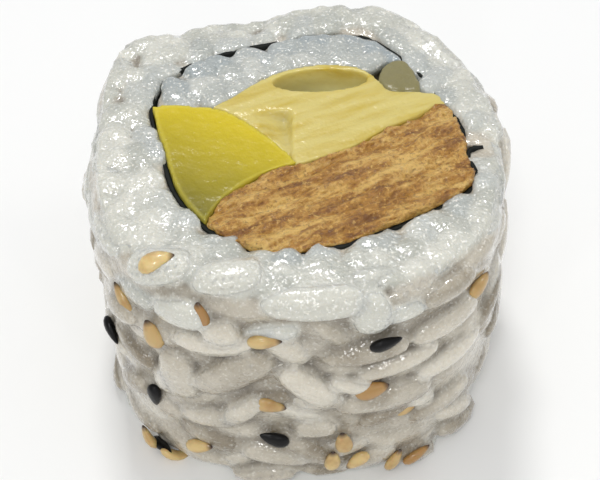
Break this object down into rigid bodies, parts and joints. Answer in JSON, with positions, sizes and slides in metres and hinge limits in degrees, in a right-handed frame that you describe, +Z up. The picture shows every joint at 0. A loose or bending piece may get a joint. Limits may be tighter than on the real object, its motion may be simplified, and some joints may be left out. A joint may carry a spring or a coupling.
{
  "type": "inside-out sushi roll piece with fried tofu",
  "caption": "A cut piece of inside-out sushi roll: rice with sesame outside, nori, fried tofu, avocado and pickled radish inside",
  "frame": {"origin": "centre of the foot, on the surface the piece stands on", "axes": "+X to the right of its front, +Y to its back, +Z up along the roll"},
  "size_m": [0.0393, 0.0409, 0.0273],
  "materials": {
    "outer_rice": "steamed sushi rice, white and moist",
    "nori_sheet": "roasted seaweed sheet, near black, damp",
    "inner_rice": "steamed sushi rice, tinted cool beside the seaweed",
    "tofu": "seasoned fried tofu, golden brown, spongy cut face",
    "avocado": "ripe avocado flesh, yellow to green, smooth cut",
    "radish_fold": "soft pale yellow pickled radish, moist",
    "radish_end": "olive brown end of the pickled strip, moist"
  },
  "bodies": {
    "root": {"outer_rice": "outer_rice", "nori_sheet": "nori_sheet", "inner_rice": "inner_rice", "tofu": "tofu", "avocado": "avocado", "radish_fold": "radish_fold", "radish_end": "radish_end"}
  },
  "joints": []
}
